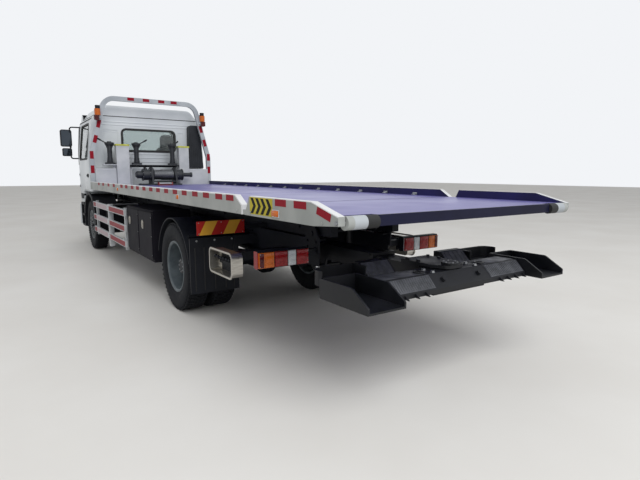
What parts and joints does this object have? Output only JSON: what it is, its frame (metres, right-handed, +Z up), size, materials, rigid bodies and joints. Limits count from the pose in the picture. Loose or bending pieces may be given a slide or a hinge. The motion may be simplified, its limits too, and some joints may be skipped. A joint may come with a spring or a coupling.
{
  "type": "flatbed tow truck",
  "caption": "Cab-over truck with a sliding, tilting flatbed, front hoop with winch and lift forks, and an underlift with crossbar at the tail.",
  "frame": {"origin": "on the ground under the middle of the truck's length and width", "axes": "+X the vehicle's left, +Y towards its tail, +Z up"},
  "size_m": [3.05, 10.2, 3.09],
  "materials": {
    "chassis_black": "satin black chassis paint",
    "cab_white": "gloss white enamel",
    "rail_silver": "silver grey paint",
    "deck_violet": "violet deck paint",
    "guard_white": "white paint",
    "wheel_grey": "grey wheel paint",
    "tyre": "rubber",
    "glass": "green tinted",
    "plastic_black": "moulded",
    "interior_grey": "moulded",
    "seat_cloth": "woven",
    "stainless": "brushed",
    "chrome_rod": "polished",
    "red_lens": "clear gloss",
    "clear_lens": "clear gloss",
    "board_red": "reflective",
    "cast_metal": "cast",
    "tank_alloy": "satin",
    "exhaust_steel": "dull"
  },
  "bodies": {
    "chassis": {"chassis_frame": "chassis_black", "front_axle": "chassis_black", "rear_axle": "chassis_black", "engine": "cast_metal", "prop_shaft": "chassis_black", "fuel_tank": "tank_alloy", "battery_box": "chassis_black", "exhaust": "exhaust_steel", "toolboxes": "chassis_black", "side_guards": "guard_white", "mudguards": "plastic_black", "warning_boards": "board_red", "control_boxes": "stainless", "tail_lamps": "red_lens", "bumper": "cab_white", "headlamps": "clear_lens", "steps": "plastic_black"},
    "cab": {"cab_shell": "cab_white", "cab_roof": "cab_white", "front_panel": "cab_white", "cab_glass": "glass", "dashboard": "interior_grey", "seats": "seat_cloth", "mirrors": "plastic_black", "snorkel": "plastic_black"},
    "tilt_frame": {"tilt_frame": "chassis_black"},
    "tilt_barrels": {"tilt_barrels": "chassis_black"},
    "tilt_rods": {"tilt_rods": "chrome_rod"},
    "bed": {"bed_deck": "deck_violet", "side_beams": "rail_silver", "hoop": "rail_silver", "rope_guards": "guard_white", "fork_adapters": "chassis_black", "winch_body": "cast_metal", "shoulder_lamps": "red_lens", "slide_rod": "chrome_rod"},
    "winch_drum": {"winch_drum": "cast_metal"},
    "tail_rollers": {"tail_rollers": "guard_white"},
    "lift_boom": {"lift_boom": "chassis_black"},
    "lift_extension": {"lift_extension": "chassis_black"},
    "crossbar": {"crossbar": "chassis_black"},
    "lift_barrels": {"lift_barrels": "chassis_black"},
    "lift_rods": {"lift_rods": "chrome_rod"},
    "tie_rod": {"tie_rod": "chassis_black"},
    "door_left": {"door_left": "cab_white", "door_glass_left": "glass"},
    "knuckle_left": {"knuckle_left": "chassis_black"},
    "front_wheel_left": {"front_rim_left": "wheel_grey", "front_tyre_left": "tyre"},
    "rear_wheel_left": {"rear_rims_left": "wheel_grey", "rear_tyres_left": "tyre"},
    "door_right": {"door_right": "cab_white", "door_glass_right": "glass"},
    "knuckle_right": {"knuckle_right": "chassis_black"},
    "front_wheel_right": {"front_rim_right": "wheel_grey", "front_tyre_right": "tyre"},
    "rear_wheel_right": {"rear_rims_right": "wheel_grey", "rear_tyres_right": "tyre"}
  },
  "joints": [
    {"name": "cab_tilt", "type": "hinge", "parent": "chassis", "child": "cab", "pos_m": [0, -5.01, 0.8], "axis": [1, 0, 0], "range_deg": [0, 45]},
    {"name": "steer_left", "type": "hinge", "parent": "chassis", "child": "knuckle_left", "pos_m": [0.9, -3.7, 0.509], "axis": [0, 0, 1], "range_deg": [-35, 35]},
    {"name": "steer_right", "type": "hinge", "parent": "chassis", "child": "knuckle_right", "pos_m": [-0.9, -3.7, 0.509], "axis": [0, 0, 1], "range_deg": [-35, 35]},
    {"name": "tie_rod_shift", "type": "slide", "parent": "chassis", "child": "tie_rod", "axis": [-1, 0, 0], "range_m": [-0.12, 0.12]},
    {"name": "door_left_open", "type": "hinge", "parent": "cab", "child": "door_left", "pos_m": [1.2, -4.76, 1.8], "axis": [0, 0, -1], "range_deg": [0, 65]},
    {"name": "front_wheel_left_spin", "type": "hinge", "parent": "knuckle_left", "child": "front_wheel_left", "pos_m": [1.062, -3.7, 0.509], "axis": [1, 0, 0], "continuous": true},
    {"name": "rear_wheel_left_spin", "type": "hinge", "parent": "chassis", "child": "rear_wheel_left", "pos_m": [0.903, 1.775, 0.509], "axis": [1, 0, 0], "continuous": true},
    {"name": "door_right_open", "type": "hinge", "parent": "cab", "child": "door_right", "pos_m": [-1.2, -4.76, 1.8], "axis": [0, 0, 1], "range_deg": [0, 65]},
    {"name": "front_wheel_right_spin", "type": "hinge", "parent": "knuckle_right", "child": "front_wheel_right", "pos_m": [-1.062, -3.7, 0.509], "axis": [1, 0, 0], "continuous": true},
    {"name": "rear_wheel_right_spin", "type": "hinge", "parent": "chassis", "child": "rear_wheel_right", "pos_m": [-0.903, 1.775, 0.509], "axis": [1, 0, 0], "continuous": true},
    {"name": "bed_tilt", "type": "hinge", "parent": "chassis", "child": "tilt_frame", "pos_m": [0, 3.55, 1.03], "axis": [-1, 0, 0], "range_deg": [0, 13]},
    {"name": "tilt_barrel_swing", "type": "hinge", "parent": "chassis", "child": "tilt_barrels", "pos_m": [0, 0.95, 0.6], "axis": [1, 0, 0], "range_deg": [-1, 8.25]},
    {"name": "tilt_rod_slide", "type": "slide", "parent": "tilt_barrels", "child": "tilt_rods", "axis": [0, 0.9603, 0.2788], "range_m": [-0.005, 0.1197]},
    {"name": "bed_slide", "type": "slide", "parent": "tilt_frame", "child": "bed", "axis": [0, 1, 0], "range_m": [0, 3.8]},
    {"name": "winch_turn", "type": "hinge", "parent": "bed", "child": "winch_drum", "pos_m": [0, -2.8, 1.545], "axis": [1, 0, 0], "continuous": true},
    {"name": "tail_roller_spin", "type": "hinge", "parent": "bed", "child": "tail_rollers", "pos_m": [0, 5.005, 1.295], "axis": [1, 0, 0], "continuous": true},
    {"name": "lift_lower", "type": "hinge", "parent": "tilt_frame", "child": "lift_boom", "pos_m": [0, 2.5, 0.8], "axis": [1, 0, 0], "range_deg": [-10, 0]},
    {"name": "lift_barrel_swing", "type": "hinge", "parent": "tilt_frame", "child": "lift_barrels", "pos_m": [0, 3.26, 1.05], "axis": [1, 0, 0], "range_deg": [-4.56, 0.5]},
    {"name": "lift_rod_slide", "type": "slide", "parent": "lift_barrels", "child": "lift_rods", "axis": [0, 0, -1], "range_m": [-0.005, 0.141]},
    {"name": "lift_extend", "type": "slide", "parent": "lift_boom", "child": "lift_extension", "axis": [0, -1, 0], "range_m": [-0.9, 0]},
    {"name": "crossbar_swing", "type": "hinge", "parent": "lift_extension", "child": "crossbar", "pos_m": [0, 4.8, 0.8], "axis": [0, 0, 1], "range_deg": [-12, 12]}
  ],
  "couplings": [
    {"joint": "steer_right", "follows": "steer_left", "ratio": 1},
    {"joint": "tie_rod_shift", "follows": "steer_left", "m_per_rad": 0.17844},
    {"joint": "tilt_barrel_swing", "follows": "bed_tilt", "ratio": 0.55784},
    {"joint": "tilt_rod_slide", "follows": "bed_tilt", "m_per_rad": 0.48333},
    {"joint": "lift_barrel_swing", "follows": "lift_lower", "ratio": 0.40596},
    {"joint": "lift_rod_slide", "follows": "lift_lower", "m_per_rad": -0.75072}
  ]
}
